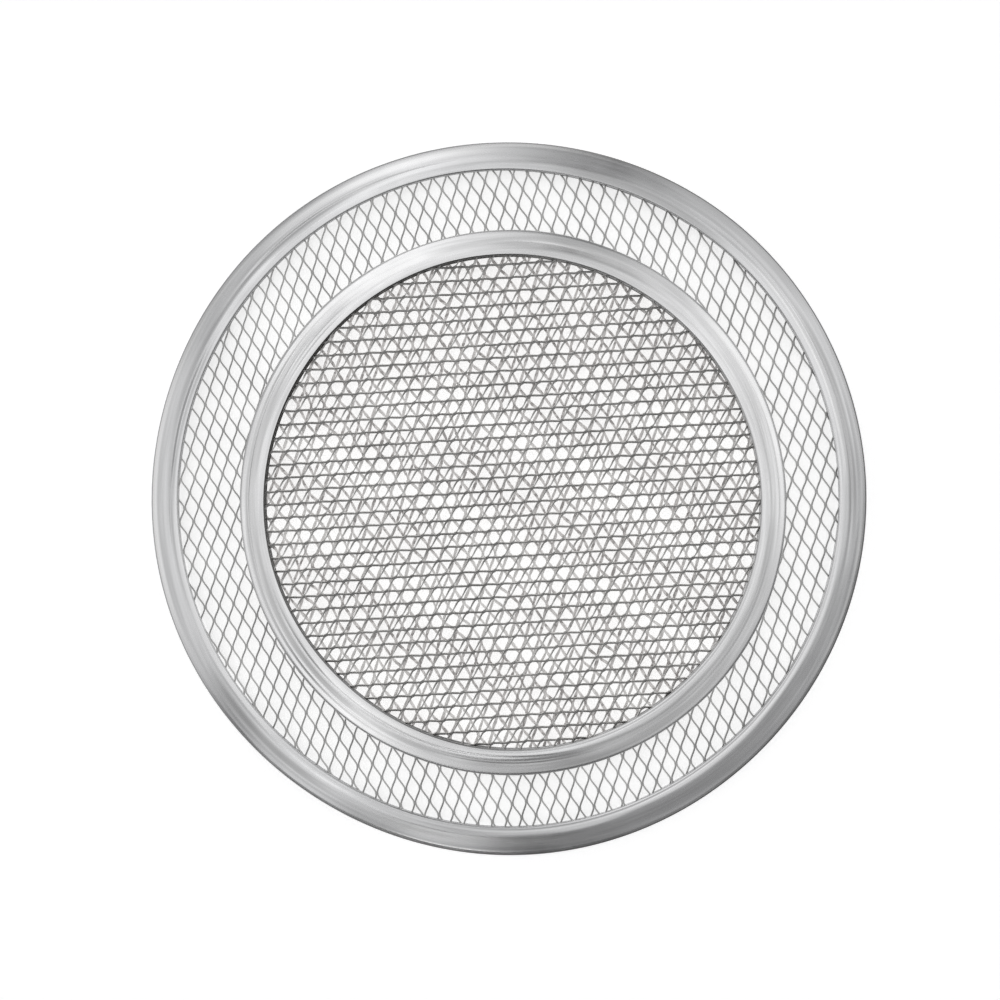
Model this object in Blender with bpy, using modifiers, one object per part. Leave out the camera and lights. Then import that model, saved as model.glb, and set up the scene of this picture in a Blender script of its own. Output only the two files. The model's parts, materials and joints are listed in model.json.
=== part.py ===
"""Two round aluminium pizza screens, the smaller one lying loose on the larger one.

Each screen is a disc of expanded mesh whose edge is held in a rim folded from one strip.
Metres, +Z up. The origin is on the large screen's axis, on the surface that it rests on.
"""

from math import atan2, ceil, cos, hypot, pi, radians, sin

import bmesh
import bpy
from mathutils import Matrix, Vector

# Rims
LARGE_DIAMETER = 0.305
LARGE_RIM_WIDTH = 0.012
LARGE_BEAD_WIDTH = 0.0082
SMALL_DIAMETER = 0.2325
SMALL_RIM_WIDTH = 0.0108
SMALL_BEAD_WIDTH = 0.0064
RIM_HEIGHT = 0.005
STRIP_THICKNESS = 0.0008
BEAD_ROUNDING = 0.0019
STEP_RUN = 0.0009
LOWER_LIP_OVERHANG = 0.0006
LARGE_RIM_FACETS = 56
SMALL_RIM_FACETS = 48
BEND_FACETS = 2

# Expanded mesh, by the long and short way across one diamond
LARGE_DIAMOND_LENGTH = 0.0124
LARGE_DIAMOND_WIDTH = 0.00603
LARGE_LONG_AXIS = radians(98.4)
SMALL_DIAMOND_LENGTH = 0.0126
SMALL_DIAMOND_WIDTH = 0.0063
SMALL_LONG_AXIS = radians(30.25)
STRAND_WIDTH = 0.00085
SHEET_THICKNESS = 0.0006
STRAND_RISE = 0.00035

# One modelled diamond is this many real ones long and wide, and its strands are as much wider,
# so that the open share and the weight stay those of the real mesh
LATTICE_STEP = 2.6

# Fits
SEAT_CLEARANCE = 0.0003
EDGE_CLEARANCE = 0.0007
CUTTER_MARGIN = 0.002

# Where the small screen lies on the large one
SMALL_OFFSET_X = 0.0018
SMALL_OFFSET_Y = -0.0020

MESH_HEIGHT = SHEET_THICKNESS + 2 * STRAND_RISE
SLOT_HEIGHT = MESH_HEIGHT + 2 * SEAT_CLEARANCE
MESH_LEVEL = RIM_HEIGHT / 2
SMALL_SCREEN_LEVEL = MESH_LEVEL + MESH_HEIGHT / 2 + SEAT_CLEARANCE

RIM_COLOUR = (0.80, 0.80, 0.80, 1.0)
MESH_COLOUR = (0.62, 0.62, 0.63, 1.0)


def clear_scene():
    for obj in list(bpy.data.objects):
        bpy.data.objects.remove(obj, do_unlink=True)


def new_collection(name):
    collection = bpy.data.collections.new(name)
    bpy.context.scene.collection.children.link(collection)
    return collection


def metal(name, colour, roughness):
    """A bare metal finish."""
    material = bpy.data.materials.new(name)
    material.use_nodes = True
    shader = material.node_tree.nodes["Principled BSDF"]
    shader.inputs["Base Color"].default_value = colour
    shader.inputs["Metallic"].default_value = 1.0
    shader.inputs["Roughness"].default_value = roughness
    return material


def new_object(name, mesh, collection, parent):
    obj = bpy.data.objects.new(name, mesh)
    collection.objects.link(obj)
    obj.parent = parent
    return obj


def screen_frame(name, collection, location):
    """The empty that one screen's pieces hang on, at the centre of its underside."""
    empty = bpy.data.objects.new(name, None)
    empty.location = location
    collection.objects.link(empty)
    return empty


def bend(centre_x, centre_z, start):
    """Points on a quarter circle that turns clockwise from the angle start."""
    angles = [start - pi / 2 * i / BEND_FACETS for i in range(BEND_FACETS + 1)]
    return [
        Vector((centre_x + BEAD_ROUNDING * cos(a), 0, centre_z + BEAD_ROUNDING * sin(a)))
        for a in angles
    ]


def rim_profile(radius, rim_width, bead_width):
    """The folded strip's outer face, from the upper lip's free edge round to the lower lip's."""
    upper_lip = MESH_LEVEL + SLOT_HEIGHT / 2 + STRIP_THICKNESS
    lower_lip = MESH_LEVEL - SLOT_HEIGHT / 2 - STRIP_THICKNESS
    lip_edge = radius - rim_width
    bead_edge = radius - bead_width
    bend_x = radius - BEAD_ROUNDING
    return [
        Vector((lip_edge, 0, upper_lip)),
        Vector((bead_edge - STEP_RUN, 0, upper_lip)),
        Vector((bead_edge, 0, RIM_HEIGHT)),
        *bend(bend_x, RIM_HEIGHT - BEAD_ROUNDING, pi / 2),
        *bend(bend_x, BEAD_ROUNDING, 0),
        Vector((bead_edge, 0, 0)),
        Vector((bead_edge - STEP_RUN, 0, lower_lip)),
        Vector((lip_edge - LOWER_LIP_OVERHANG, 0, lower_lip)),
    ]


def folded_rim(name, radius, rim_width, bead_width, facets, collection, parent):
    """A rim: the strip's profile turned about Z, then given the strip's thickness inwards."""
    points = rim_profile(radius, rim_width, bead_width)
    mesh = bpy.data.meshes.new(name)
    mesh.from_pydata(points, [(i, i + 1) for i in range(len(points) - 1)], [])
    rim = new_object(name, mesh, collection, parent)
    screw = rim.modifiers.new("turn", "SCREW")
    screw.axis = "Z"
    screw.angle = 2 * pi
    screw.steps = facets
    screw.render_steps = facets
    screw.use_merge_vertices = False
    wall = rim.modifiers.new("strip", "SOLIDIFY")
    wall.thickness = STRIP_THICKNESS
    wall.offset = -1
    wall.use_even_offset = True
    normals = rim.modifiers.new("shading", "WEIGHTED_NORMAL")
    normals.keep_sharp = True
    rim.data.materials.append(metal(name, RIM_COLOUR, 0.35))
    return rim


def diamond_lattice(length, width, strand, radius):
    """One face of the expanded sheet, long way along X, with an opening in every diamond.

    A square grid is sheared into diamonds, and its lines are widened into strands that meet in
    flat bonds. Each opening's near corner is raised and its far corner lowered, so that every
    strand leans the same way, as the slitting and pulling leave it.
    """
    reach = radius + CUTTER_MARGIN
    cells = 2 * ceil(reach * hypot(length, width) / (length * width))
    lattice = bmesh.new()
    bmesh.ops.create_grid(lattice, x_segments=cells, y_segments=cells, size=cells / 2)
    shear = Matrix(
        (
            (length / 2, length / 2, 0, 0),
            (-width / 2, width / 2, 0, 0),
            (0, 0, 1, 0),
            (0, 0, 0, 1),
        )
    )
    bmesh.ops.transform(lattice, matrix=shear, verts=lattice.verts)
    far_cells = [f for f in lattice.faces if f.calc_center_median().length > reach + length]
    bmesh.ops.delete(lattice, geom=far_cells, context="FACES")
    web = bmesh.ops.bevel(
        lattice,
        geom=lattice.edges[:],
        offset=strand / 2,
        offset_type="OFFSET",
        segments=1,
        affect="EDGES",
    )
    web_faces = set(web["faces"])
    openings = [face for face in lattice.faces if face not in web_faces]
    half_opening = width / 2 - strand / 2 / cos(atan2(width, length))
    for opening in openings:
        middle = opening.calc_center_median()
        for corner in opening.verts:
            corner.co.z = -STRAND_RISE * (corner.co.y - middle.y) / half_opening
    bmesh.ops.delete(lattice, geom=openings, context="FACES_ONLY")
    return lattice


def disc_cutter(name, radius, facets, level, collection, parent):
    """The round outline that the sheet is cut to."""
    disc = bmesh.new()
    bmesh.ops.create_cone(
        disc,
        cap_ends=True,
        segments=facets,
        radius1=radius,
        radius2=radius,
        depth=MESH_HEIGHT + 2 * CUTTER_MARGIN,
    )
    mesh = bpy.data.meshes.new(name)
    disc.to_mesh(mesh)
    disc.free()
    cutter = new_object(name, mesh, collection, parent)
    cutter.location.z = level
    cutter.hide_render = True
    cutter.display_type = "WIRE"
    return cutter


def drop_offcuts(obj):
    """Makes the object's modifiers real and keeps only the largest connected piece."""
    bpy.context.view_layer.update()
    evaluated = obj.evaluated_get(bpy.context.evaluated_depsgraph_get())
    cut = bmesh.new()
    cut.from_mesh(evaluated.to_mesh())
    evaluated.to_mesh_clear()
    waiting = set(cut.verts)
    pieces = []
    while waiting:
        edge_of_piece = [waiting.pop()]
        piece = list(edge_of_piece)
        while edge_of_piece:
            vertex = edge_of_piece.pop()
            for edge in vertex.link_edges:
                other = edge.other_vert(vertex)
                if other in waiting:
                    waiting.remove(other)
                    edge_of_piece.append(other)
                    piece.append(other)
        pieces.append(piece)
    pieces.sort(key=len)
    for piece in pieces[:-1]:
        bmesh.ops.delete(cut, geom=piece, context="VERTS")
    obj.modifiers.clear()
    cut.to_mesh(obj.data)
    cut.free()


def expanded_disc(name, length, width, long_axis, cutter, radius, collection, parent):
    """A disc of expanded mesh, its long way turned to long_axis."""
    lattice = diamond_lattice(
        length * LATTICE_STEP,
        width * LATTICE_STEP,
        STRAND_WIDTH * LATTICE_STEP,
        radius,
    )
    mesh = bpy.data.meshes.new(name)
    lattice.to_mesh(mesh)
    lattice.free()
    disc = new_object(name, mesh, collection, parent)
    disc.location.z = MESH_LEVEL
    disc.rotation_euler.z = long_axis
    sheet = disc.modifiers.new("sheet", "SOLIDIFY")
    sheet.thickness = SHEET_THICKNESS
    sheet.offset = 0
    sheet.use_even_offset = False
    outline = disc.modifiers.new("outline", "BOOLEAN")
    outline.operation = "INTERSECT"
    outline.solver = "EXACT"
    outline.object = cutter
    drop_offcuts(disc)
    disc.data.materials.append(metal(name, MESH_COLOUR, 0.45))
    return disc


def mesh_radius(diameter):
    """How far the mesh reaches into its rim's fold."""
    return diameter / 2 - STRIP_THICKNESS - EDGE_CLEARANCE


def large_screen(parts, cutters):
    frame = screen_frame("large_screen", parts, (0, 0, 0))
    folded_rim(
        "large_rim",
        LARGE_DIAMETER / 2,
        LARGE_RIM_WIDTH,
        LARGE_BEAD_WIDTH,
        LARGE_RIM_FACETS,
        parts,
        frame,
    )
    radius = mesh_radius(LARGE_DIAMETER)
    cutter = disc_cutter("large_outline", radius, LARGE_RIM_FACETS, MESH_LEVEL, cutters, frame)
    expanded_disc(
        "large_mesh",
        LARGE_DIAMOND_LENGTH,
        LARGE_DIAMOND_WIDTH,
        LARGE_LONG_AXIS,
        cutter,
        radius,
        parts,
        frame,
    )


def small_screen(parts, cutters):
    """The loose screen. Its frame is on the line that it lifts off along."""
    frame = screen_frame(
        "small_screen", parts, (SMALL_OFFSET_X, SMALL_OFFSET_Y, SMALL_SCREEN_LEVEL)
    )
    folded_rim(
        "small_rim",
        SMALL_DIAMETER / 2,
        SMALL_RIM_WIDTH,
        SMALL_BEAD_WIDTH,
        SMALL_RIM_FACETS,
        parts,
        frame,
    )
    radius = mesh_radius(SMALL_DIAMETER)
    cutter = disc_cutter("small_outline", radius, SMALL_RIM_FACETS, MESH_LEVEL, cutters, frame)
    expanded_disc(
        "small_mesh",
        SMALL_DIAMOND_LENGTH,
        SMALL_DIAMOND_WIDTH,
        SMALL_LONG_AXIS,
        cutter,
        radius,
        parts,
        frame,
    )


def main():
    clear_scene()
    parts = new_collection("pizza_screens")
    cutters = new_collection("cutters")
    large_screen(parts, cutters)
    small_screen(parts, cutters)


main()
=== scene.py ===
"""Two round aluminium pizza screens, the smaller one lying loose on the larger one.

Each screen is a disc of expanded mesh held in a rim folded from one strip. Metres, +Z up.
"""

import json
import logging
import math
from dataclasses import dataclass
from enum import Enum
from typing import TypeVar

import bpy
import numpy as np
from numpy.typing import NDArray
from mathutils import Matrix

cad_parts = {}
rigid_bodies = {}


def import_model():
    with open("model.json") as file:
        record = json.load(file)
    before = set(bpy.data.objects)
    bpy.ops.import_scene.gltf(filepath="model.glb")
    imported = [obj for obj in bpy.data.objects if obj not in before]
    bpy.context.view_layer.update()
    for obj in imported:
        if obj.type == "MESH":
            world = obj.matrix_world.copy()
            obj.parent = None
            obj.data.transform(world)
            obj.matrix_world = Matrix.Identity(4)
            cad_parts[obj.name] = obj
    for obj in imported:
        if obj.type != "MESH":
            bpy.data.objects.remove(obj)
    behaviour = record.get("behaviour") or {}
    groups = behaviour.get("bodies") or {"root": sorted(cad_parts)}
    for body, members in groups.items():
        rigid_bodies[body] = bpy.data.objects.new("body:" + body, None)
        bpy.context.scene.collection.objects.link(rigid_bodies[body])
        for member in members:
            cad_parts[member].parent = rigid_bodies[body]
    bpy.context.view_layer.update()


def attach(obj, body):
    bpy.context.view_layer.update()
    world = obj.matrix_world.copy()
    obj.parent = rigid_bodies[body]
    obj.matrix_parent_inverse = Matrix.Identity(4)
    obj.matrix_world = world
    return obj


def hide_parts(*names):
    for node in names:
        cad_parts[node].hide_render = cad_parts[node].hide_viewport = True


Array = NDArray[np.float64]
Pair = tuple[float, float]
Triple = tuple[float, float, float]
Socket = bpy.types.NodeSocket
Kind = TypeVar("Kind")
log = logging.getLogger("pizza_screens")

MM = 0.001
TINY = 0.0001
BAKE_MAP = "OFBake"
NOISE_SPAN = (0.3, 0.7)  # where most of a noise's values lie
FINE_SPAN = (0.25, 0.75)  # the same for the finest lines
MAP_MARGIN = 1.04  # the mesh's bake map against its width
SIDE_START, SIDE_HEIGHT = 0.04, 0.23  # the sides of a strand in its row of the bake map
END_SPAN, END_BREADTH = (0.3, 0.7), 0.002  # a strand's cut end, in the same row
FADE_SHARES = (1.5, 0.5)  # where a stretch of directions starts and is full, in spreads


class Body(Enum):
    """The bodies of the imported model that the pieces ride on."""

    LARGE = "large_screen"
    SMALL = "small_screen"


class Slot(Enum):
    """The record's material slots."""

    RIM = "rim"
    MESH = "mesh"


@dataclass(frozen=True)
class Wave:
    """One slow ripple round a ring: size * cos(count * angle - start)."""

    count: int
    size: float
    start: float


def ripple(angles: Array, waves: tuple[Wave, ...]) -> Array:
    """The sum of some ripples at some angles in radians."""
    parts = (wave.size * np.cos(wave.count * angles - math.radians(wave.start)) for wave in waves)
    return sum(parts, np.zeros_like(angles))


def table(kind: type[Kind], *rows: tuple[object, ...]) -> tuple[Kind, ...]:
    """One object of a kind for each row of its values."""
    return tuple(kind(*row) for row in rows)


def shaded(colour: Triple, share: float = 1.0) -> tuple[float, ...]:
    """A colour times a share, at most 1, with its alpha."""
    return (*(min(1.0, share * part) for part in colour), 1.0)


def height_at(degrees: float) -> float:
    """The height on a globe of radius 1 at an angle above its equator."""
    return math.sin(math.radians(degrees))


def arc(centre: Array, spoke: Array, swept: Array) -> Array:
    """A spoke (x, y) turned round a centre by angles t: (x cos t - y sin t, x sin t + y cos t)."""
    cos, sin = np.cos(swept), np.sin(swept)
    return centre + np.stack([spoke[0] * cos - spoke[1] * sin, spoke[0] * sin + spoke[1] * cos], axis=1)


def corner_places(u: tuple[Array, ...], v: tuple[Array, ...]) -> Array:
    """The bake map's places of some faces' corners, one row per corner."""
    return np.stack([np.stack(u, axis=1), np.stack(v, axis=1)], axis=-1).reshape(-1, 2)


def new_piece(name: str, points: Array, faces: NDArray[np.int64], corner_map: Array) -> bpy.types.Object:
    """Makes a piece from four-sided faces.

    Args:
        name: The piece's name.
        points: One row per vertex, in metres in the row frame.
        faces: One row of four vertex numbers per face, anticlockwise from outside.
        corner_map: The bake map's place of each face corner, one row per corner.

    Returns:
        The new object, at the origin.
    """
    mesh = bpy.data.meshes.new(name)
    mesh.from_pydata(points, [], faces)
    layer = mesh.uv_layers.new(name=BAKE_MAP)
    layer.uv.foreach_set("vector", corner_map.astype(np.float32).ravel())
    mesh.update()
    piece = bpy.data.objects.new(name, mesh)
    bpy.context.scene.collection.objects.link(piece)
    return piece


class Nodes:
    """A short way to write a material's or the world's node tree."""

    def __init__(self, tree: bpy.types.NodeTree) -> None:
        """Keeps the tree and empties it."""
        self.tree = tree
        tree.nodes.clear()

    def add(self, kind: str, *sources: object, **settings: object) -> bpy.types.Node:
        """Adds a node, sets its properties and feeds its inputs.

        Args:
            kind: The node's type, without the words ShaderNode.
            *sources: Sockets, values or None for its first inputs, in their order.
            **settings: Properties of the node.

        Returns:
            The new node.
        """
        node = self.tree.nodes.new("ShaderNode" + kind)
        for name, value in settings.items():
            setattr(node, name, value)
        for source, target in zip(sources, node.inputs, strict=False):
            self.plug(source, target)
        return node

    def plug(self, source: object, target: Socket) -> None:
        """Links a socket to an input, or sets the input to a value.

        Args:
            source: The socket or the value, or None to leave the input as it is.
            target: The input.
        """
        if isinstance(source, Socket):
            self.tree.links.new(source, target)
        elif source is not None:
            target.default_value = source

    def math(self, operation: str, *values: object) -> Socket:
        """The result of a Math node's operation on some sockets or numbers."""
        return self.add("Math", *values, operation=operation).outputs[0]

    def remap(self, value: Socket, low: float, high: float, first: float = 0.0, last: float = 1.0) -> Socket:
        """A smooth step from first, where the value is low or less, to last, where it is high or more."""
        node = self.add("MapRange", value, low, high, first, last, interpolation_type="SMOOTHSTEP")
        return node.outputs[0]

    def noise(self, place: Socket, scale: float, detail: float) -> Socket:
        """A noise from 0 to 1 at a place: its features per unit, and its number of finer layers."""
        return self.add("TexNoise", place, None, scale, detail).outputs["Fac"]

    def blend(self, share: object, first: object, second: object) -> Socket:
        """A mix of two colours, in which the second one has a share."""
        return self.add("Mix", share, *[None] * 5, first, second, data_type="RGBA").outputs[2]

    def split(self, vector: Socket) -> list[Socket]:
        """A vector's x, y and z."""
        return self.add("SeparateXYZ", vector).outputs[:3]

    def length(self, x: Socket, y: Socket) -> Socket:
        """The square root of x squared + y squared."""
        return self.math("SQRT", self.math("ADD", self.math("MULTIPLY", x, x), self.math("MULTIPLY", y, y)))

    def towards(self, x: Socket, y: Socket, degrees: float, size: float = 1.0) -> Socket:
        """How far (x, y) lies towards a direction, times a size: size * (x cos + y sin)."""
        along, up = size * math.cos(math.radians(degrees)), size * math.sin(math.radians(degrees))
        return self.math("ADD", self.math("MULTIPLY", x, along), self.math("MULTIPLY", y, up))

    def within(self, facing: Socket, spread: float) -> Socket:
        """A smooth step over the cosine of the angle from a stretch's middle, by its spread."""
        return self.remap(facing, *(math.cos(math.radians(share * spread)) for share in FADE_SHARES))

    def bump(self, height: Socket, strength: float, depth: float) -> Socket:
        """The normal of a bump: its height from 0 to 1, its share, and its depth in metres at 1."""
        return self.add("Bump", strength, depth, None, height).outputs[0]


def new_metal(name: str) -> tuple[bpy.types.Material, Nodes, bpy.types.Node]:
    """Makes a metal's material.

    Args:
        name: The material's name.

    Returns:
        The material, its nodes and its shader.
    """
    material = bpy.data.materials.new(name)
    material.use_nodes = True
    nodes = Nodes(material.node_tree)
    shader = nodes.add("BsdfPrincipled")
    shader.inputs["Metallic"].default_value = 1.0
    nodes.add("OutputMaterial", shader.outputs[0])
    return material, nodes, shader


@dataclass(frozen=True)
class PaintedShade:
    """Painted shade on a rim's outer fold or in its crease, in a dark colour: its share, its swing and the
    side where it is darkest.
    """

    share: float
    swing: float
    towards: float


@dataclass(frozen=True)
class PaintedLight:
    """A stretch of a rim painted darker, as painted shade, or brighter, as a painted highlight.

    Its middle's direction and its spread in degrees, its middle's inset from the outer edge and
    its breadth in millimetres, and its share of the painted shade's dark colour, or below 0 of the
    painted highlight's bright metal colour.
    """

    towards: float
    spread: float
    inset: float
    breadth: float
    share: float


@dataclass(frozen=True)
class RolledStrip:
    """The rims' finish: rolled aluminium strip with fine lines that run round the rim, and painted shade and
    painted highlights.
    """

    colour: Triple = (0.762, 0.764, 0.773)
    darkest: float = 0.86
    lightest: float = 1.10
    roughness: float = 0.22
    line_roughness: Pair = (-0.02, 0.02)
    smudge_roughness: Pair = (-0.02, 0.03)
    anisotropy: float = 0.75
    line_length: float = 5.0
    line_count: float = 1200.0
    broad_scale: float = 0.35
    smudge_scale: float = 60.0
    bump_strength: float = 0.10
    bump_depth: float = 0.00006
    # The painted shade's dark colour and the painted highlights' bright metal colour.
    shade_colour: Triple = (0.10, 0.098, 0.095)
    pale_and_highlight: Triple = (0.98, 0.98, 0.985)
    patch_edges: Pair = (0.4, 1.6)
    fold_fades: Triple = (0.002, 0.005, 0.008)
    crease_fade: float = 0.02

    def material(self, rim: "Rim", marks: Triple) -> bpy.types.Material:
        """Makes a rim's finish, with its painted shade and painted highlights.

        The lines are noise read at (x / r, y / r) times a small number and r + z times a
        large one, so that they close round the rim with no seam.

        Args:
            rim: The rim.
            marks: Where its outer rounding starts and ends on the bake map, and its crease starts.

        Returns:
            The material.
        """
        material, nodes, shader = new_metal(rim.name)
        away = (-rim.centre[0], -rim.centre[1], 0)
        place = nodes.add("TexCoord").outputs["Object"]
        centred = nodes.add("Mapping", place, away, vector_type="POINT").outputs[0]
        x, y, z = nodes.split(centred)
        across = nodes.length(x, y)
        unit_x, unit_y = nodes.math("DIVIDE", x, across), nodes.math("DIVIDE", y, across)
        lined_x, lined_y = (nodes.math("MULTIPLY", unit, self.line_length) for unit in (unit_x, unit_y))
        lined_r = nodes.math("MULTIPLY", nodes.math("ADD", across, z), self.line_count)
        lines = nodes.add("CombineXYZ", lined_x, lined_y, lined_r).outputs[0]
        fine, broad = nodes.noise(lines, 1.0, 3.0), nodes.noise(lines, self.broad_scale, 2.0)
        smudges = nodes.noise(centred, self.smudge_scale, 3.0)
        dark, light = shaded(self.colour, self.darkest), shaded(self.colour, self.lightest)
        tone = nodes.blend(nodes.remap(broad, *NOISE_SPAN), dark, light)
        # Painted shade and painted highlights in stretches: a share above 0 blends in the dark colour, below
        # 0 the bright metal colour.
        painted_light_share = 0.0
        for patch in rim.painted_lights:
            turned = nodes.within(nodes.towards(unit_x, unit_y, patch.towards), patch.spread)
            gap = nodes.math("ABSOLUTE", nodes.math("SUBTRACT", across, rim.radius - patch.inset * MM))
            near, far = (edge * (patch.breadth * MM) for edge in self.patch_edges)
            painted_light_share = nodes.math("MULTIPLY_ADD", turned, nodes.remap(gap, near, far, patch.share, 0.0), painted_light_share)
        shade_colour = shaded(self.shade_colour)
        tone = nodes.blend(painted_light_share, tone, shade_colour)
        tone = nodes.blend(nodes.math("MULTIPLY", painted_light_share, -1.0), tone, shaded(self.pale_and_highlight))
        # Painted shade: the dark colour on the outer fold's rounding and on the inner skin in the crease,
        # strongest towards one side.
        section = nodes.split(nodes.add("UVMap", uv_map=BAKE_MAP).outputs[0])[0]
        start, end, crease = marks
        before, after, late = self.fold_fades
        rising = nodes.remap(section, start - before, start + after)
        fold = nodes.math("MULTIPLY", rising, nodes.remap(section, end, end + late, 1.0, 0.0))
        inner = nodes.remap(section, crease, crease + self.crease_fade)
        share = 0.0
        for painted_shade, shape in ((rim.fold_painted_shade, fold), (rim.painted_shade, inner)):
            facing = nodes.towards(unit_x, unit_y, painted_shade.towards, painted_shade.swing)
            share = nodes.math("MULTIPLY_ADD", shape, nodes.math("ADD", facing, painted_shade.share), share)
        nodes.plug(nodes.blend(share, tone, shade_colour), shader.inputs["Base Color"])
        shader.inputs["Anisotropic"].default_value = self.anisotropy
        lined = nodes.remap(fine, *FINE_SPAN, *self.line_roughness)
        smudged = nodes.remap(smudges, *NOISE_SPAN, *self.smudge_roughness)
        rough = nodes.math("ADD", nodes.math("ADD", lined, smudged), self.roughness)
        nodes.plug(rough, shader.inputs["Roughness"])
        bump = nodes.bump(nodes.math("ADD", fine, broad), self.bump_strength, self.bump_depth)
        nodes.plug(bump, shader.inputs["Normal"])
        tangent = nodes.add("Tangent", direction_type="UV_MAP", uv_map=BAKE_MAP)
        nodes.plug(tangent.outputs[0], shader.inputs["Tangent"])
        return material


@dataclass(frozen=True)
class SlitSheet:
    """The mesh's finish: aluminium sheet slit and pulled open, matt and a little uneven."""

    colour: Triple = (0.70, 0.695, 0.683)
    darkest: float = 0.72
    lightest: float = 1.22
    blotch_scale: float = 45.0
    blotch_share: float = 0.6
    grain_scale: float = 1800.0
    grain_share: float = 0.4
    pale: Triple = (0.925, 0.911, 0.897)
    dulled: Triple = (0.83, 0.808, 0.796)
    stained: Triple = (0.50, 0.478, 0.469)
    fleck_scale: float = 420.0
    fleck_span: Pair = (0.50, 0.62)
    band_length: float = 38.9 * MM
    band_towards: float = 63.4
    band_start: float = 0.584
    band_bend: float = 0.9
    bend_scale: float = 18.0
    dull_side: Pair = (40 * MM, 62 * MM)
    dull_side_strength: float = -1.6
    spot: Triple = (-16.3 * MM, -29.6 * MM, 0.0)
    spot_edges: Pair = (16 * MM, 32 * MM)
    spot_strength: float = 1.3
    rubbed_span: Pair = (-0.2, 1.1)
    covered_fade: float = 3 * MM
    roughness: float = 0.42
    grain_roughness: Pair = (-0.08, 0.08)
    bump_strength: float = 0.3
    bump_depth: float = 0.00003

    def pale_and_highlight(self, nodes: Nodes, place: Socket, x: Socket, y: Socket) -> Socket:
        """The colour of the part that another screen has covered.

        It is pale where bands + a dull side + a pale spot are high, and dull with stained flecks
        elsewhere. The bands are cos(2 pi (way across them / their length + a slow noise - start)).

        Args:
            nodes: The material's nodes.
            place: The place on the mesh.
            x: The place's x.
            y: The place's y.

        Returns:
            The colour.
        """
        bent = nodes.math("SUBTRACT", nodes.noise(place, self.bend_scale, 1.0), 0.5)
        bent = nodes.math("MULTIPLY", bent, self.band_bend)
        cycles = nodes.math("DIVIDE", nodes.towards(x, y, self.band_towards), self.band_length)
        cycles = nodes.math("SUBTRACT", nodes.math("ADD", cycles, bent), self.band_start)
        bands = nodes.math("COSINE", nodes.math("MULTIPLY", cycles, math.tau))
        side = nodes.remap(y, *self.dull_side, 0.0, self.dull_side_strength)
        gap = nodes.add("VectorMath", place, self.spot, operation="DISTANCE").outputs["Value"]
        spot = nodes.remap(gap, *self.spot_edges, self.spot_strength, 0.0)
        flecks = nodes.remap(nodes.noise(place, self.fleck_scale, 1.0), *self.fleck_span)
        flecked = nodes.blend(flecks, shaded(self.dulled), shaded(self.stained))
        clean = nodes.math("ADD", nodes.math("ADD", bands, side), spot)
        return nodes.blend(nodes.remap(clean, *self.rubbed_span), flecked, shaded(self.pale))

    def material(self, name: str, covered: float) -> bpy.types.Material:
        """Makes the finish, which is paler where another screen has covered the mesh.

        Args:
            name: The material's name.
            covered: The radius of the covered part, or 0 where there is none.

        Returns:
            The material.
        """
        material, nodes, shader = new_metal(name)
        place = nodes.add("TexCoord").outputs["Object"]
        blotches = nodes.math("MULTIPLY", nodes.noise(place, self.blotch_scale, 3.0), self.blotch_share)
        grain = nodes.noise(place, self.grain_scale, 3.0)
        mixed = nodes.math("ADD", blotches, nodes.math("MULTIPLY", grain, self.grain_share))
        dark, light = shaded(self.colour, self.darkest), shaded(self.colour, self.lightest)
        tone = nodes.blend(nodes.remap(mixed, *NOISE_SPAN), dark, light)
        if covered > 0:
            x, y, _ = nodes.split(place)
            under = nodes.remap(nodes.length(x, y), covered - self.covered_fade, covered, 1.0, 0.0)
            tone = nodes.blend(under, tone, self.pale_and_highlight(nodes, place, x, y))
        nodes.plug(tone, shader.inputs["Base Color"])
        rough = nodes.math("ADD", nodes.remap(grain, *NOISE_SPAN, *self.grain_roughness), self.roughness)
        nodes.plug(rough, shader.inputs["Roughness"])
        nodes.plug(nodes.bump(grain, self.bump_strength, self.bump_depth), shader.inputs["Normal"])
        return material


def filleted(corners: Array, radii: Array, arc_steps: int = 10) -> Array:
    """Rounds a line's inner corners with circular arcs.

    Args:
        corners: The line's corners, one row each.
        radii: The arc radius at each corner; the two ends' are not used.
        arc_steps: How many stretches each arc gets.

    Returns:
        The rounded line's points.
    """
    points = [corners[:1]]
    for before, corner, after, radius in zip(corners, corners[1:], corners[2:], radii[1:], strict=False):
        way_in = (corner - before) / np.linalg.norm(corner - before)
        way_out = (after - corner) / np.linalg.norm(after - corner)
        turn = math.atan2(way_in[0] * way_out[1] - way_in[1] * way_out[0], float(way_in @ way_out))
        reach = radius * math.tan(abs(turn) / 2)
        side = math.copysign(1.0, turn) * np.array([-way_in[1], way_in[0]])
        centre = corner - reach * way_in + radius * side
        points.append(arc(centre, -radius * side, np.linspace(0, turn, arc_steps + 1)))
    points.append(corners[-1:])
    return np.concatenate(points)


def resampled(line: Array, places: Array) -> Array:
    """A line's points at some distances along it from its start."""
    lengths = np.concatenate([[0.0], np.cumsum(np.linalg.norm(np.diff(line, axis=0), axis=1))])
    return np.stack([np.interp(places, lengths, line[:, 0]), np.interp(places, lengths, line[:, 1])], axis=1)


def bump_at(values: Array, middle: float, width: float) -> Array:
    """A smooth hump of height 1: exp(-((value - middle) / width) squared)."""
    return np.exp(-(((values - middle) / width) ** 2))


def eased(values: Array, start: float, end: float) -> Array:
    """A smooth step from 0 at start to 1 at end: 3 t squared - 2 t cubed."""
    t = np.clip((values - start) / (end - start), 0.0, 1.0)
    return t * t * (3 - 2 * t)


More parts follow.
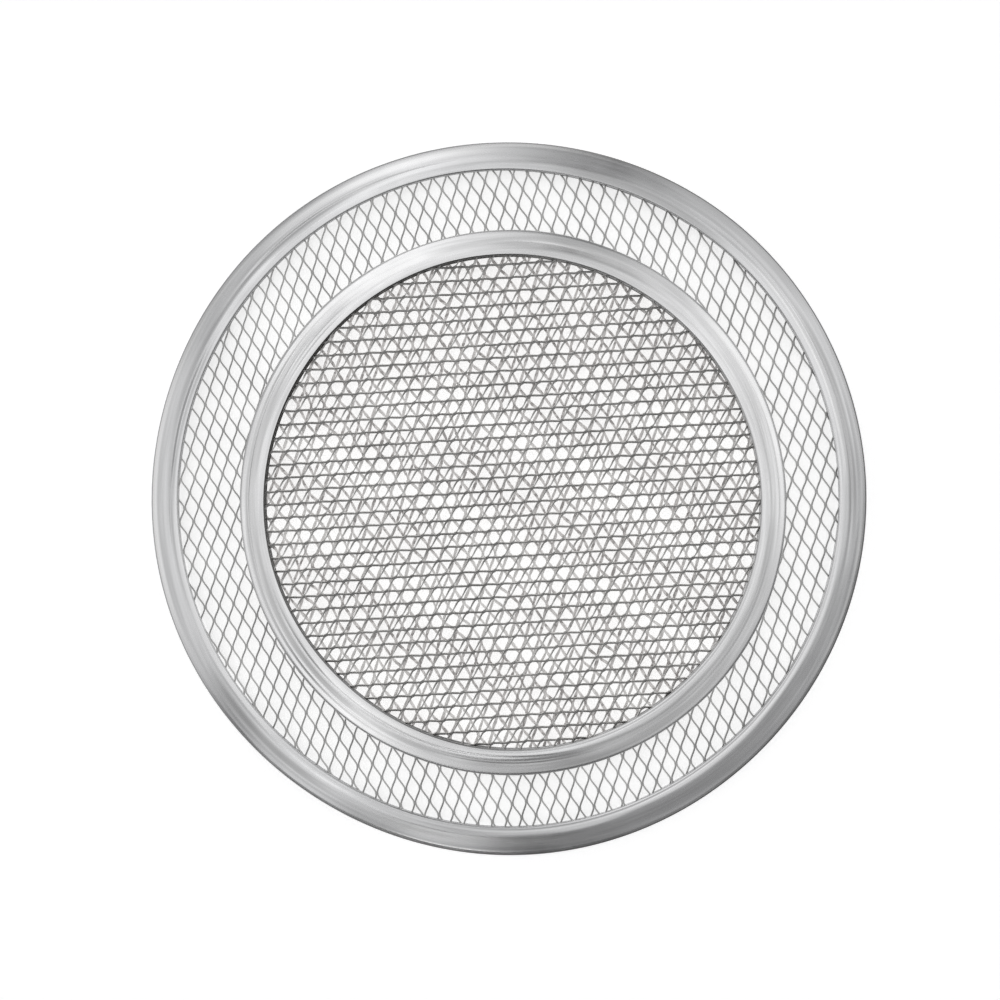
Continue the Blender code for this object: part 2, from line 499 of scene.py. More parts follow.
@dataclass(frozen=True)
class Groove:
    """A line pressed into the rim's upper face over some stretches of the round.

    Its inset, width and depth are in millimetres; a negative depth is a ridge. A stretch is its
    middle's direction and its spread, in degrees, and its share of the depth.
    """

    inset: float
    width: float
    depth: float
    stretches: tuple[Triple, ...]

    def strength(self, angles: Array) -> Array:
        """The groove's share of its depth: the sum of exp(-((angle - middle) / spread) squared).

        Args:
            angles: Directions from the rim's axis, in radians.

        Returns:
            The share at each angle.
        """
        total = np.zeros_like(angles)
        for middle, spread, share in self.stretches:
            away = (np.degrees(angles) - middle + 180) % 360 - 180
            total += share * np.exp(-((away / spread) ** 2))
        return total


@dataclass
class Rim:
    """A rim folded from one strip round the edge of the mesh."""

    name: str
    body: Body
    radius: float
    width: float
    bead_width: float
    lip_fall: float
    crest_inset: float
    bend_inset: float
    bend_fall: float
    band_inset: float
    face_fall: float
    band_fall: float
    edge_round: float
    outline: tuple[Wave, ...]
    upper_lip: tuple[Wave, ...]
    lower_lip: tuple[Wave, ...]
    step: tuple[Wave, ...]
    tilt: tuple[Wave, ...]
    grooves: tuple[Groove, ...]
    # Painted shade in the crease behind the lips and on the outer fold, and stretches of painted shade and
    # painted highlights.
    painted_shade: PaintedShade
    fold_painted_shade: PaintedShade
    painted_lights: tuple[PaintedLight, ...]
    overhang: float = 0.0
    centre: Pair = (0.0, 0.0)
    level: float = 0.0
    height: float = 5.0 * MM
    thickness: float = 0.6 * MM
    hem_thickness: float = 1.4 * MM
    hem_end: float = 0.6 * MM
    crest_round: float = 10.0 * MM
    face_round: float = 20.0 * MM
    fold_round: float = 0.7 * MM
    settling: float = 0.06 * MM
    pressed_above: float = 1.2 * MM
    fold_depth: float = 0.85 * MM
    tolerance: float = 0.02 * MM
    stations: int = 720
    upper_points: int = 50
    lower_points: int = 34
    inner_points: int = 36
    tip_points: int = 8

    def outer_skin(self, lip_edge: float) -> tuple[Array, Array]:
        """The corners and radii of the strip's outer skin, from a lip's edge to the outer fold.

        Args:
            lip_edge: The radius at which the lip's flat face starts.

        Returns:
            The corners as (radius, height above the mesh's middle), and the fillet radii.
        """
        top = self.height / 2
        corners = np.array(
            [
                (lip_edge, top - self.lip_fall),
                (self.radius - self.crest_inset, top),
                (self.radius - self.bend_inset, top - self.bend_fall),
                (self.radius - self.band_inset, top - self.face_fall),
                (self.radius, top - self.face_fall - self.band_fall),
                (self.radius, 0.0),
            ]
        )
        radii = np.array([0.0, self.crest_round, self.face_round, self.edge_round, self.fold_round, 0.0])
        return corners, radii

    def section(self) -> tuple[Array, int]:
        """The strip's closed cross-section.

        The inner skin is the outer one moved in by the strip's thickness, which grows to the
        hem's on the lips, and half circles close the hems' free edges.

        Returns:
            The section's points as (radius, height), anticlockwise seen along the rim, and the
            number of its first point on the lower hem's tip, where the inner skin begins.
        """
        inner = self.radius - self.width
        upper, upper_radii = self.outer_skin(inner + self.hem_thickness / 2)
        lower, lower_radii = self.outer_skin(inner - self.overhang + self.hem_thickness / 2)
        lower[:, 1] *= -1
        corners = np.concatenate([upper[:-1], lower[-2::-1]])
        radii = np.concatenate([upper_radii[:-1], lower_radii[-2::-1]])
        line = filleted(corners, radii)
        length = float(np.linalg.norm(np.diff(line, axis=0), axis=1).sum())
        upper_end, lower_start = length / 2 - 2 * MM, length / 2 - 1.8 * MM
        above = np.linspace(0, upper_end, self.upper_points)
        outer = resampled(line, np.concatenate([above, np.linspace(lower_start, length, self.lower_points)]))
        back = np.linspace(length, 0, self.inner_points)
        here = resampled(line, back)
        step = self.tolerance
        before, after = (resampled(line, np.clip(back + move, 0, length)) for move in (-step, step))
        way = (after - before) / np.linalg.norm(after - before, axis=1, keepdims=True)
        bead = self.radius - self.bead_width
        hem = 1 - eased(here[:, 0], bead - self.hem_end, bead)
        reach = self.thickness + (self.hem_thickness - self.thickness) * hem[:, None]
        skin = here - reach * np.stack([-way[:, 1], way[:, 0]], axis=1)
        ends = []
        for start, end in ((outer[-1], skin[0]), (skin[-1], outer[0])):
            tip = (start + end) / 2
            ends.append(arc(tip, start - tip, np.linspace(0, -math.pi, self.tip_points)[1:-1]))
        return np.concatenate([outer, ends[0], skin, ends[1]]), len(outer)

    def surface(self) -> tuple[Array, Array, Triple]:
        """Carries the section round the axis, and lets it wander a little as a pressed strip does.

        point(a, s) = centre + (r cos a, r sin a, z), where r and z are the section's, moved by the
        ripples of the outline, the lips and the step, each faded out away from its own place.

        Returns:
            The points by angle and section place, the section's distance along it as a share of
            its length, and three such shares: where the outer fold's rounding starts and ends,
            and the inner skin's first point.
        """
        section, first_inner = self.section()
        radius, height = section[:, 0], section[:, 1]
        angles = np.arange(self.stations) * 2 * math.pi / self.stations
        bead = self.radius - self.bead_width
        inner = self.radius - self.width
        # How far each ripple reaches, from the lips' edge, the bead's edge and the outer edge.
        is_upper = eased(height, -0.1 * MM, 0.1 * MM)
        on_lip = 1 - eased(radius, inner + 0.8 * MM, bead - 0.4 * MM)
        on_step = bump_at(radius, bead - 0.3 * MM, 1.2 * MM)
        on_top = is_upper * eased(radius, bead - 1.5 * MM, bead + 0.5 * MM)
        on_top *= 1 - eased(radius, self.radius - 1.2 * MM, self.radius - 0.1 * MM)
        outline = ripple(angles, self.outline)
        outline -= outline.max()
        r = radius + outline[:, None]
        for waves, share in (
            (self.upper_lip, on_lip * is_upper),
            (self.lower_lip, on_lip * (1 - is_upper)),
            (self.step, on_step),
        ):
            r = r + ripple(angles, waves)[:, None] * share
        tilted = (radius - (self.radius - self.bead_width / 2)) / (self.bead_width / 2)
        z = height + (ripple(angles, self.tilt)[:, None] * tilted - self.settling) * on_top
        for groove in self.grooves:
            strength = groove.strength(angles)
            shape = bump_at(radius, self.radius - groove.inset * MM, groove.width * MM)
            shape = shape * (height > self.pressed_above)
            z = z - groove.depth * MM * strength[:, None] * shape
        z = np.clip(z, -self.height / 2, self.height / 2) + self.level + self.height / 2
        x = self.centre[0] + r * np.cos(angles)[:, None]
        y = self.centre[1] + r * np.sin(angles)[:, None]
        points = np.stack([x, y, z], axis=-1)
        gaps = np.linalg.norm(np.diff(np.concatenate([section, section[:1]]), axis=0), axis=1)
        along = np.concatenate([[0.0], np.cumsum(gaps)]) / gaps.sum()
        rounding = np.flatnonzero((radius > self.radius - self.fold_depth) & (height > 0))
        rounding = rounding[rounding < first_inner]
        end = rounding[radius[rounding] < self.radius - self.tolerance][-1]
        return points, along, (float(along[rounding[0]]), float(along[end]), float(along[first_inner]))

    def build(self, finish: RolledStrip) -> bpy.types.Object:
        """Makes the rim and gives it its finish.

        Args:
            finish: The rim's finish.

        Returns:
            The rim.
        """
        points, across, marks = self.surface()
        rows, columns = points.shape[:2]
        row, column = (index.ravel() for index in np.indices((rows, columns)))
        next_row, next_column = (row + 1) % rows, (column + 1) % columns
        here, below = row * columns, next_row * columns
        faces = np.stack([here + column, here + next_column, below + next_column, below + column], axis=1)
        u, next_u, v, next_v = across[column], across[column + 1], row / rows, (row + 1) / rows
        corner_map = corner_places((u, next_u, next_u, u), (v, v, next_v, next_v))
        piece = new_piece(self.name, points.reshape(-1, 3), faces, corner_map)
        piece.data.shade_smooth()
        piece.data.materials.append(finish.material(self, marks))
        return piece


@dataclass(frozen=True)
class StrandShape:
    """How the strands that climb one way differ from a plain slat between two bonds."""

    bow: float = 0.3
    swell: float = 0.0
    twist: float = 0.0
    twist_span: Pair = (0.15, 0.80)

    def way(self, samples: Array) -> tuple[Array, Array]:
        """A strand's way from one row of bonds to the next, and its slope.

        The way is a blend of t and 3 t squared - 2 t cubed, so that it leaves each bond in a
        slight curve.

        Args:
            samples: Places along the strand, from 0 to 1.

        Returns:
            The way and its slope, both per unit of t.
        """
        way = (1 - self.bow) * samples + self.bow * samples**2 * (3 - 2 * samples)
        slope = (1 - self.bow) + self.bow * 6 * samples * (1 - samples)
        return way, slope

    def breadth(self, samples: Array) -> Array:
        """A strand's breadth against the bond's: 1 + swell * the square root of sin(pi t)."""
        return 1 + self.swell * np.sqrt(np.sin(math.pi * samples))

    def lean(self, samples: Array) -> Array:
        """A strand's lean against the bond's, which a twist takes away towards the strand's start."""
        return 1 - self.twist * (1 - eased(samples, *self.twist_span))


@dataclass
class ExpandedSheet:
    """A disc of expanded mesh, made of strands that zigzag between rows of bonds."""

    name: str
    body: Body
    radius: float
    length: float
    width: float
    long_axis: float
    level: float
    centre: Pair = (0.0, 0.0)
    shift: Pair = (0.0, 0.0)
    shear: float = 0.0
    pull: tuple[tuple[complex, complex], ...] = ()
    rising: StrandShape = StrandShape()
    falling: StrandShape = StrandShape()
    strand: float = 0.54 * MM
    sheet: float = 0.55 * MM
    lean: float = 30.0
    bond: float = 0.5 * MM
    wander: float = 0.08 * MM
    wander_up: float = 0.3
    wander_waves: tuple[float, ...] = (0.110, 0.061, 0.034, 0.019, 0.011)
    covered: float = 0.0
    covered_fade: float = 6 * MM
    covered_lean: float = 6.0
    covered_swell: float = 0.95
    covered_wander: float = 0.42 * MM
    covered_wander_fade: Pair = (18 * MM, 4 * MM)
    covered_waves: tuple[float, ...] = (0.047, 0.033, 0.026, 0.021)
    inner: tuple[float, ...] = (0.13, 0.36, 0.64, 0.87)
    sharp_angle: float = 45.0
    seed: int = 3

    def ribbons(self) -> tuple[Array, Array, Array]:
        """Every ribbon's corner points on one shared grid.

        Ribbon k zigzags between bond rows k and k + 1. Its middle line is at
        y = k S / 2 + w / 2 + (S / 2 - w) q(x), where q goes from 0 at one row's bonds to 1 at the
        next row's, and z = h / 2 - h q. The section is a slat of width w that leans the same way
        everywhere. Where another screen has pressed the mesh flat, it leans less, and is broader
        by a share of the square root of 4 q (1 - q).

        Returns:
            The corner points by ribbon, sample and corner, in the sheet's own frame; each
            sample's x; and q by ribbon and sample.
        """
        half = self.length / 2
        pitch = self.width / 2
        count = math.ceil(self.radius / half) + 2
        ribbons = math.ceil(self.radius / pitch) + 2
        inner = np.array(self.inner)
        run = half - 2 * self.bond
        offsets = np.concatenate([[-self.bond, self.bond], self.bond + run * inner])
        number = np.repeat(np.arange(-count, count + 1), len(offsets))
        x = (np.arange(-count, count + 1)[:, None] * half + offsets).ravel()
        rows = np.arange(-ribbons, ribbons)
        rises = (number + rows[:, None]) % 2 == 0
        ways = []
        for shape, start, sense in ((self.rising, 0.0, 1.0), (self.falling, 1.0, -1.0)):
            way, slope = shape.way(inner)
            flat = np.array([0.0, 0.0])
            half_period = (
                start + sense * np.concatenate([flat, way]),
                sense * np.concatenate([flat, slope / run]),
                np.concatenate([flat + 1, shape.breadth(inner)]),
                np.concatenate([flat + 1, shape.lean(inner)]),
            )
            ways.append([np.tile(values, 2 * count + 1) for values in half_period])
        q, dq, breadth, share = (np.where(rises, up, down) for up, down in zip(*ways, strict=True))
        fall = self.strand * math.tan(math.radians(self.lean))
        climb = pitch - self.strand
        y = rows[:, None] * pitch + self.strand / 2 + climb * q
        z = fall / 2 - fall * q
        heading = np.stack([np.ones_like(dq), climb * dq], axis=-1)
        heading /= np.linalg.norm(heading, axis=-1, keepdims=True)
        away = np.hypot(x + self.shift[0], y + self.shift[1])
        open_to_sky = eased(away, self.covered - self.covered_fade, self.covered)
        lean = share * np.radians(self.covered_lean + (self.lean - self.covered_lean) * open_to_sky)
        swell = self.covered_swell * (1 - open_to_sky) * np.sqrt(4 * q * (1 - q))
        wide = self.strand / 2 * (breadth + swell)
        ahead, aside = heading[..., 0], heading[..., 1]
        side = np.stack([-aside * wide, ahead * wide, np.tan(lean) * wide], axis=-1)
        face = self.sheet / 2 * np.stack([aside * np.sin(lean), -ahead * np.sin(lean), np.cos(lean)], axis=-1)
        middle = np.stack([np.broadcast_to(x, y.shape), y, z], axis=-1)
        low, high = middle - side, middle + side
        return np.stack([low - face, high - face, high + face, low + face], axis=2), x, q

    def placed(self, points: Array) -> Array:
        """Lets the sheet wander a little, turns it, pulls it uneven and puts it in its rim.

        With z = (x + i y) / radius, the pull of order n moves a point in x and in y by the real
        parts of two complex numbers times z to the n, for n = 2, 3 and so on. A covered part
        wanders more, by a few waves that fade out towards its edge.

        Args:
            points: Points in the sheet's own frame.

        Returns:
            The points in the row frame.
        """
        draw = np.random.default_rng(self.seed)
        turn = math.radians(self.long_axis)
        y, z = points[:, 1] + self.shift[1], points[:, 2]
        x = points[:, 0] + self.shift[0] + self.shear * y
        moved_x, moved_y, moved_z = x.copy(), y.copy(), z.copy()
        for wavelength in self.wander_waves:
            kx, ky = draw.normal(size=2)
            size = math.hypot(kx, ky) * wavelength / (2 * math.pi)
            starts = draw.uniform(0, 2 * math.pi, 3)
            phase = (kx * x + ky * y) / size
            share = self.wander * math.sqrt(wavelength / self.wander_waves[0])
            moved_x += share * np.sin(phase + starts[0])
            moved_y += share * np.sin(phase + starts[1])
            moved_z += self.wander_up * share * np.sin(phase + starts[2])
        if self.covered > 0:
            fade = (self.covered - before for before in self.covered_wander_fade)
            pressed = 1 - eased(np.hypot(x, y), *fade)
            for wavelength in self.covered_waves:
                heading, *starts = draw.uniform(0, 2 * math.pi, 3)
                phase = 2 * math.pi / wavelength * (math.cos(heading) * x + math.sin(heading) * y)
                moved_x += self.covered_wander * pressed * np.sin(phase + starts[0])
                moved_y += self.covered_wander * pressed * np.sin(phase + starts[1])
        turned = (moved_x + 1j * moved_y) * complex(math.cos(turn), math.sin(turn))
        placed_x, placed_y = turned.real + self.centre[0], turned.imag + self.centre[1]
        for order, (across, up) in enumerate(self.pull, start=2):
            power = (turned / self.radius) ** order
            placed_x = placed_x + (across * power).real
            placed_y = placed_y + (up * power).real
        return np.stack([placed_x, placed_y, self.level + moved_z], axis=1)

    def build(self, finish: SlitSheet) -> bpy.types.Object:
        """Makes the mesh: welds the ribbons at their bonds and cuts them to a disc.

        Args:
            finish: The mesh's finish.

        Returns:
            The mesh.
        """
        corners, x, q = self.ribbons()
        ribbons, samples = corners.shape[:2]
        number = np.arange(ribbons * samples * 4).reshape(ribbons, samples, 4)
        low = (q[1:] == 0.0) & (q[:-1] == 1.0)
        number[1:, :, 0] = np.where(low, number[:-1, :, 1], number[1:, :, 0])
        number[1:, :, 3] = np.where(low, number[:-1, :, 2], number[1:, :, 3])
        places = self.placed(corners.reshape(-1, 3))
        middle = places.reshape(ribbons, samples, 4, 3).mean(axis=2)
        inside = np.hypot(middle[..., 0] - self.centre[0], middle[..., 1] - self.centre[1]) < self.radius
        kept = inside[:, :-1] & inside[:, 1:]
        flat = (q[:, :-1] == 0.0) & (q[:, 1:] == 0.0)
        joined = np.zeros_like(kept)
        joined[1:] = flat[1:] & kept[1:] & kept[:-1]
        faces, maps = [], []
        across = (x + self.shift[0]) / (2 * self.radius * MAP_MARGIN) + 0.5
        # Sides 3 and 1 of two ribbons that share a bond lie inside the metal and are left out.
        for side in range(4):
            after = (side + 1) % 4
            shown = kept.copy()
            if side == 3:
                shown &= ~joined
            if side == 1:
                shown[:-1] &= ~joined[1:]
            row, column = np.nonzero(shown)
            here, beyond = number[row, column], number[row, column + 1]
            faces.append(np.stack([here[:, side], here[:, after], beyond[:, after], beyond[:, side]], axis=1))
            low_v = (row + SIDE_START + SIDE_HEIGHT * side) / ribbons
            high_v = (row + SIDE_START + SIDE_HEIGHT * (side + 1)) / ribbons
            u0, u1 = across[column], across[column + 1]
            maps.append(corner_places((u0, u0, u1, u1), (low_v, high_v, high_v, low_v)))
        before = np.pad(kept, ((0, 0), (1, 0)))[:, :-1]
        behind = np.pad(kept, ((0, 0), (0, 1)))[:, 1:]
        for ends, order, offset, sense in (
            (kept & ~before, (0, 3, 2, 1), 0, -1.0),
            (kept & ~behind, (0, 1, 2, 3), 1, 1.0),
        ):
            row, column = np.nonzero(ends)
            faces.append(number[row, column + offset][:, list(order)])
            u0 = across[column + offset]
            u1 = u0 + sense * END_BREADTH
            low_v, high_v = ((row + edge) / ribbons for edge in END_SPAN)
            maps.append(corner_places((u0, u1, u1, u0), (low_v, low_v, high_v, high_v)))
        faces = np.concatenate(faces)
        used, faces_used = np.unique(faces, return_inverse=True)
        piece = new_piece(self.name, places[used], faces_used.reshape(-1, 4), np.concatenate(maps))
        piece.data.shade_smooth()
        piece.data.set_sharp_from_angle(angle=math.radians(self.sharp_angle))
        piece.data.materials.append(finish.material(self.name, self.covered))
        return piece


@dataclass
class Screen:
    """One pizza screen: a rim and the mesh in it."""

    rim: Rim
    mesh: ExpandedSheet

    def build(self, strip: RolledStrip, sheet: SlitSheet) -> None:
        """Makes both pieces, puts them on the screen's body and reports them.

        Args:
            strip: The rim's finish.
            sheet: The mesh's finish.
        """
        for part, finish, slot in ((self.rim, strip, Slot.RIM), (self.mesh, sheet, Slot.MESH)):
            piece = part.build(finish)
            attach(piece, part.body.value)
            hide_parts(part.name.removesuffix("_look"))
            log.info("%s: %d faces", part.name, len(piece.data.polygons))


@dataclass(frozen=True)
class Softbox:
    """A soft light far away: its direction and spread, its heights in degrees and its strength.

    A strength below 0 makes it a dark card.
    """

    azimuth: float
    spread: float
    low: float
    high: float
    strength: float


@dataclass
class Studio:
    """The floor, the light and the camera."""

    softboxes: tuple[Softbox, ...]
    overhead: float = 1.03
    cap: Pair = (67, 85)
    around: float = 0.07
    horizon: float = 0.60
    horizon_fade: Pair = (8, 30)
    box_rise: float = 12
    box_fall: float = 10
    floor_size: float = 60.0
    floor_colour: Triple = (0.9, 0.9, 0.9)
    floor_glow: float = 0.55
    camera_place: Triple = (-0.00377, -0.00076, 1.1)
    field: float = 0.4270
    sensor: float = 36.0
    farthest: float = 100.0

    def light(self) -> None:
        """Makes the world: a pale horizon, a dim ring above it and a bright cap overhead.

        A softbox is the product of a smooth step round its azimuth and one up and one down
        along its height, and is added to these.
        """
        world = bpy.data.worlds.new("studio")
        bpy.context.scene.world = world
        world.use_nodes = True
        nodes = Nodes(world.node_tree)
        background = nodes.add("Background")
        nodes.add("OutputWorld", background.outputs[0])
        x, y, z = nodes.split(nodes.add("TexCoord").outputs["Generated"])
        level = nodes.math("MAXIMUM", nodes.length(x, y), TINY)
        pale = nodes.remap(z, *map(height_at, self.horizon_fade), self.horizon, self.around)
        cap = nodes.remap(z, *map(height_at, self.cap), 0.0, self.overhead - self.around)
        total = nodes.math("ADD", pale, cap)
        for box in self.softboxes:
            facing = nodes.math("DIVIDE", nodes.towards(x, y, box.azimuth), level)
            up = nodes.remap(z, height_at(box.low), height_at(box.low + self.box_rise))
            top = height_at(min(box.high + self.box_fall, 90))
            down = nodes.remap(z, height_at(box.high), top, 1.0, 0.0)
            shape = nodes.math("MULTIPLY", nodes.math("MULTIPLY", nodes.within(facing, box.spread), up), down)
            total = nodes.math("MULTIPLY_ADD", shape, box.strength, total)
        nodes.plug(total, background.inputs["Strength"])

    def floor(self) -> None:
        """Makes the white floor, which the camera and the metal see bright, with its shadows."""
        half = self.floor_size / 2
        mesh = bpy.data.meshes.new("floor")
        corners = [(-half, -half, 0), (half, -half, 0), (half, half, 0), (-half, half, 0)]
        mesh.from_pydata(corners, [], [(0, 1, 2, 3)])
        floor = bpy.data.objects.new("floor", mesh)
        bpy.context.scene.collection.objects.link(floor)
        floor.location.z = -TINY
        material = bpy.data.materials.new("floor")
        material.use_nodes = True
        nodes = Nodes(material.node_tree)
        diffuse = nodes.add("BsdfDiffuse", shaded(self.floor_colour))
        glow = nodes.add("Emission")
        rays = nodes.add("LightPath").outputs
        seen = nodes.math("MAXIMUM", rays["Is Camera Ray"], rays["Is Glossy Ray"])
        seen = nodes.math("MAXIMUM", seen, rays["Is Transmission Ray"])
        nodes.plug(nodes.math("MULTIPLY", seen, self.floor_glow), glow.inputs["Strength"])
        both = nodes.add("AddShader", diffuse.outputs[0], glow.outputs[0])
        nodes.add("OutputMaterial", both.outputs[0])
        mesh.materials.append(material)

    def camera(self) -> None:
        """Puts the camera straight above the screens, with the photograph's field."""
        camera = bpy.data.cameras.new("camera")
        camera.sensor_width = self.sensor
        camera.lens = self.sensor * self.camera_place[2] / self.field
        camera.clip_end = self.farthest
        seat = bpy.data.objects.new("camera", camera)
        seat.location = self.camera_place
        bpy.context.scene.collection.objects.link(seat)
        bpy.context.scene.camera = seat

    def build(self) -> None:
        """Makes the world, the floor and the camera."""
        self.light()
        self.floor()
        self.camera()
        bpy.context.scene.view_settings.view_transform = "Standard"


def ripples(seed: int, size: float, counts: tuple[int, ...]) -> tuple[Wave, ...]:
    """Draws a ring's small unevenness.

    Args:
        seed: The draw's seed.
        size: The largest ripple.
        counts: How often each ripple repeats round the ring.

    Returns:
        The ripples, weaker where they repeat more often.
    """
    draw = np.random.default_rng(seed)
    starts = draw.uniform(0, 360, len(counts))
    return tuple(
        Wave(count, size * math.sqrt(counts[0] / count), float(start))
        for count, start in zip(counts, starts, strict=True)
    )


def large_screen() -> Screen:
    """Gives the large screen its sizes.

    Returns:
        The screen, not built yet.
    """
    lips = table(
        Wave,
        (1, 0.16 * MM, -163),
        (2, 0.23 * MM, 26),
        (3, 0.09 * MM, -53),
        (4, 0.13 * MM, 9),
        (5, 0.10 * MM, 132),
    )
    rim = Rim(
        name="large_rim_look",
        body=Body.LARGE,
        radius=152.4 * MM,
        width=12.15 * MM,
        bead_width=8.2 * MM,
        lip_fall=0.05 * MM,
        crest_inset=8.3 * MM,
        bend_inset=4.8 * MM,
        bend_fall=0.51 * MM,
        band_inset=1.5 * MM,
        face_fall=1.06 * MM,
        band_fall=0.75 * MM,
        edge_round=1.5 * MM,
        outline=table(Wave, (2, 0.20 * MM, -7), (3, 0.10 * MM, 71), (4, 0.12 * MM, 97), (5, 0.14 * MM, -76)),
        upper_lip=lips,
        lower_lip=lips + ripples(12, 0.08 * MM, (4, 7, 9)),
        step=ripples(13, 0.22 * MM, (4, 9, 15)),
        tilt=ripples(14, 0.05 * MM, (3, 7, 13, 22)),
        grooves=table(
            Groove,
            (10.7, 0.35, 0.05, ((300, 40, 1.0), (245, 16, 0.6), (355, 18, 0.6))),
            (9.6, 0.75, 0.40, ((162, 8, 1.0), (90, 12, 0.15))),
            (9.1, 0.75, 0.40, ((173, 8, 1.0), (255, 12, 0.15))),
            (8.4, 0.70, 0.34, ((185, 8, 1.0),)),
            (6.8, 0.65, 0.30, ((106, 10, 0.7), (128, 12, 0.9), (8, 14, 0.7))),
            (7.4, 0.60, 0.28, ((25, 14, 0.9), (48, 10, 0.8))),
            (3.7, 0.70, -0.06, ((15, 30, 1.0), (232, 14, 1.0), (318, 26, 0.8))),
        ),
        # Painted shade in the crease and on the outer fold, then stretches of painted shade and painted
        # highlights.
        painted_shade=PaintedShade(0.12, 0.12, 115),
        fold_painted_shade=PaintedShade(0.60, 0.28, 330),
        painted_lights=table(
            PaintedLight,
            (13, 16, 6.2, 1.5, 0.38),
            (126, 14, 6.2, 1.5, 0.25),
            (224, 11, 6.2, 1.5, 0.30),
            (316, 24, 6.2, 1.5, 0.20),
            (66, 13, 10.9, 1.5, 0.27),
            (112, 17, 3.7, 1.2, -0.7),
            (172, 26, 1.7, 1.0, -0.9),
            (82, 12, 1.7, 1.0, -1.0),
            (260, 12, 1.6, 0.9, -1.0),
            (262, 13, 6.6, 1.7, -0.6),
            (343, 11, 1.7, 1.0, -0.9),
            (24, 16, 8.6, 1.0, -0.7),
            (188, 13, 8.6, 1.0, 0.18),
            (200, 20, 10.9, 1.3, -0.5),
            (322, 34, 10.9, 1.3, -0.5),
        ),
    )
    mesh = ExpandedSheet(
        name="large_mesh_look",
        body=Body.LARGE,
        radius=150.6 * MM,
        length=12.527 * MM,
        width=6.158 * MM,
        long_axis=99.0,
        level=2.5 * MM,
        rising=StrandShape(bow=0.5),
        falling=StrandShape(bow=0.5),
        bond=0.6 * MM,
        strand=0.64 * MM,
        lean=15.0,
        covered=112.0 * MM,
        shift=(-3.26 * MM, 0.05 * MM),
        shear=0.008,
        pull=(
            ((1.23 + 0.74j) * MM, (0.04 - 1.44j) * MM),
            ((-0.46 - 0.56j) * MM, (-1.14 + 0.73j) * MM),
        ),
    )
    return Screen(rim, mesh)


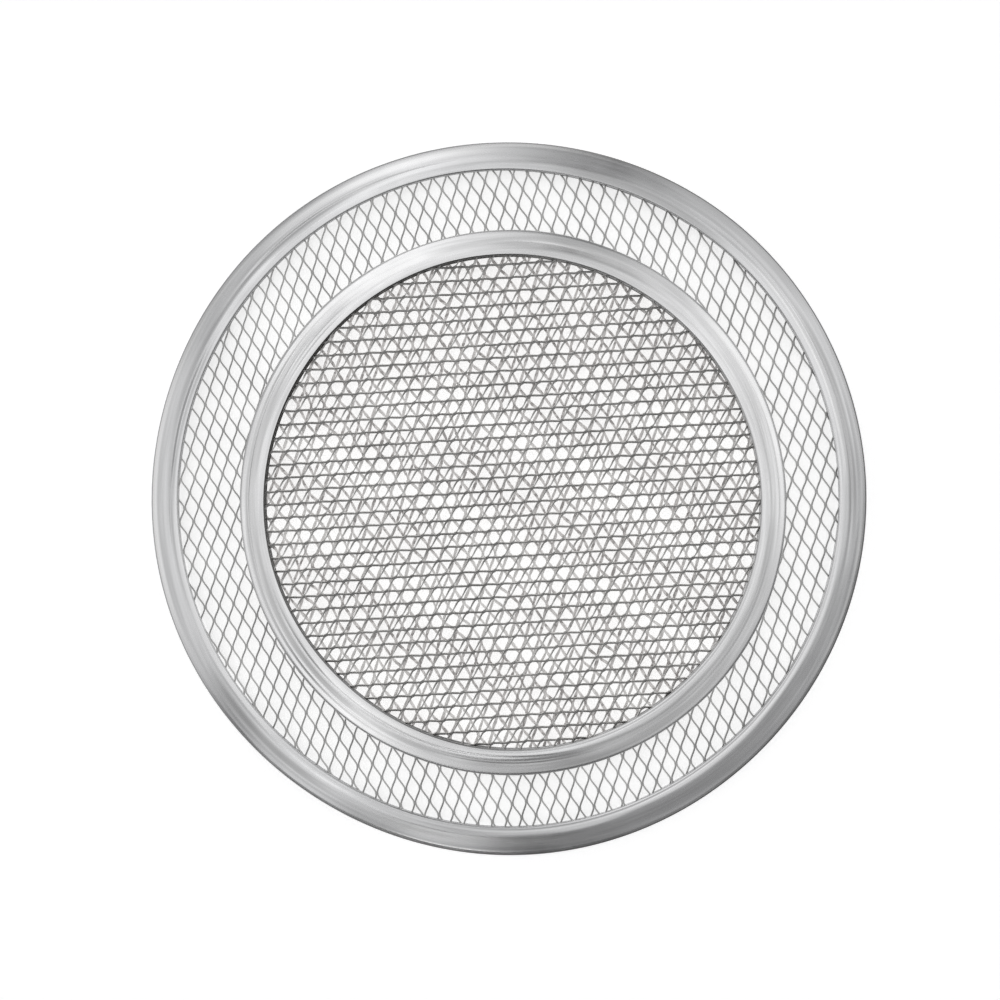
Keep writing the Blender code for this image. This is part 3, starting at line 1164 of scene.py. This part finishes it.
def small_screen() -> Screen:
    """Gives the small screen its sizes.

    Returns:
        The screen, not built yet.
    """
    centre = (1.8 * MM, -2.0 * MM)
    lips = table(
        Wave,
        (1, 0.18 * MM, 124),
        (2, 0.20 * MM, -70),
        (3, 0.10 * MM, 170),
        (4, 0.27 * MM, 32),
        (5, 0.10 * MM, -63),
    )
    rim = Rim(
        name="small_rim_look",
        body=Body.SMALL,
        radius=116.35 * MM,
        width=11.2 * MM,
        bead_width=7.0 * MM,
        lip_fall=0.08 * MM,
        crest_inset=7.5 * MM,
        bend_inset=4.2 * MM,
        bend_fall=0.30 * MM,
        band_inset=0.9 * MM,
        face_fall=0.50 * MM,
        band_fall=0.65 * MM,
        edge_round=0.9 * MM,
        centre=centre,
        level=3.45 * MM,
        outline=table(
            Wave, (2, 0.20 * MM, -56), (3, 0.14 * MM, -42), (4, 0.08 * MM, -133), (5, 0.08 * MM, 153)
        ),
        upper_lip=lips,
        lower_lip=lips + ripples(22, 0.08 * MM, (4, 5, 9)),
        step=ripples(23, 0.20 * MM, (3, 8, 13)),
        tilt=ripples(24, 0.04 * MM, (3, 6, 11, 19)),
        grooves=table(
            Groove,
            (2.4, 0.50, 0.15, ((184, 34, 1.0),)),
            (4.3, 1.60, -0.03, ((195, 34, 1.0), (12, 20, 1.0))),
            (3.5, 0.50, -0.30, ((184, 32, 1.0), (222, 14, 0.4), (14, 18, 0.4))),
            (5.1, 0.50, 0.12, ((145, 12, 1.0), (268, 12, 1.0), (330, 25, 0.4), (86, 10, 0.7))),
            (6.1, 0.45, 0.17, ((140, 8, 0.9), (268, 12, 0.8), (18, 16, 0.7))),
            (7.5, 0.55, 0.28, ((212, 13, 0.8), (238, 14, 0.9), (264, 12, 0.5), (140, 8, 0.5))),
            (9.6, 0.30, 0.05, ((315, 35, 1.0), (262, 14, 0.5))),
        ),
        # Painted shade in the crease and on the outer fold, then stretches of painted shade and painted
        # highlights.
        painted_shade=PaintedShade(0.60, 0.40, 150),
        fold_painted_shade=PaintedShade(0.30, 0.15, 300),
        painted_lights=table(
            PaintedLight,
            (203, 24, 5.8, 1.4, 0.25),
            (273, 11, 5.8, 1.4, 0.38),
            (298, 20, 3.5, 1.2, 0.25),
            (13, 11, 5.8, 1.4, 0.18),
            (15, 26, 2.2, 1.8, -1.0),
            (134, 22, 2.2, 1.8, -1.0),
            (234, 14, 2.4, 1.8, -1.0),
            (164, 9, 5.8, 1.4, 0.18),
            (224, 9, 5.8, 1.4, 0.12),
            (232, 14, 9.3, 1.4, -1.0),
            (118, 10, 5.8, 1.4, -1.0),
            (76, 9, 5.8, 1.4, -1.0),
        ),
        overhang=0.35 * MM,
    )
    mesh = ExpandedSheet(
        name="small_mesh_look",
        body=Body.SMALL,
        radius=114.4 * MM,
        length=12.6 * MM,
        width=6.3 * MM,
        long_axis=30.25,
        centre=centre,
        level=5.95 * MM,
        rising=StrandShape(bow=0.5, twist=0.85),
        falling=StrandShape(bow=0.2, swell=0.30),
        bond=0.75 * MM,
        inner=(0.07, 0.20, 0.35, 0.50, 0.65, 0.80, 0.93),
        shift=(-2.52 * MM, 1.17 * MM),
        seed=5,
    )
    return Screen(rim, mesh)


def main() -> None:
    """Builds both screens and the studio round them."""
    logging.basicConfig(level=logging.INFO, format="%(message)s")
    for obj in list(bpy.data.objects):
        bpy.data.objects.remove(obj, do_unlink=True)
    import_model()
    screens = (
        (large_screen(), RolledStrip(), SlitSheet(colour=(0.61, 0.608, 0.601))),
        (small_screen(), RolledStrip(colour=(0.868, 0.869, 0.876)), SlitSheet()),
    )
    for screen, strip, sheet in screens:
        screen.build(strip, sheet)
    studio = Studio(
        softboxes=table(
            Softbox,
            (32, 31, 20, 75, 0.80),
            (98, 17, 20, 66, 0.68),
            (123, 22, 20, 82, 0.68),
            (183, 27.5, 14, 71, 0.82),
            (234, 9.3, 30, 78, 0.86),
            (232, 11, 66, 76, 0.18),
            (259, 7, 40, 56, 1.50),
            (322, 32, 32, 68, 0.38),
            (12, 24, 2, 20, 0.20),
            (8, 16, 66, 76, 0.12),
            (276, 13, 50, 64, 0.15),
            (256, 9, 52, 62, 0.20),
            (108, 14, 54, 64, 0.16),
            (68, 14, 64, 89, -0.44),
            (296, 28, 64, 80, -0.26),
            (272, 12, 62, 74, -0.16),
            (13, 9, 48, 60, -0.14),
        )
    )
    studio.build()


if __name__ == "__main__":
    main()
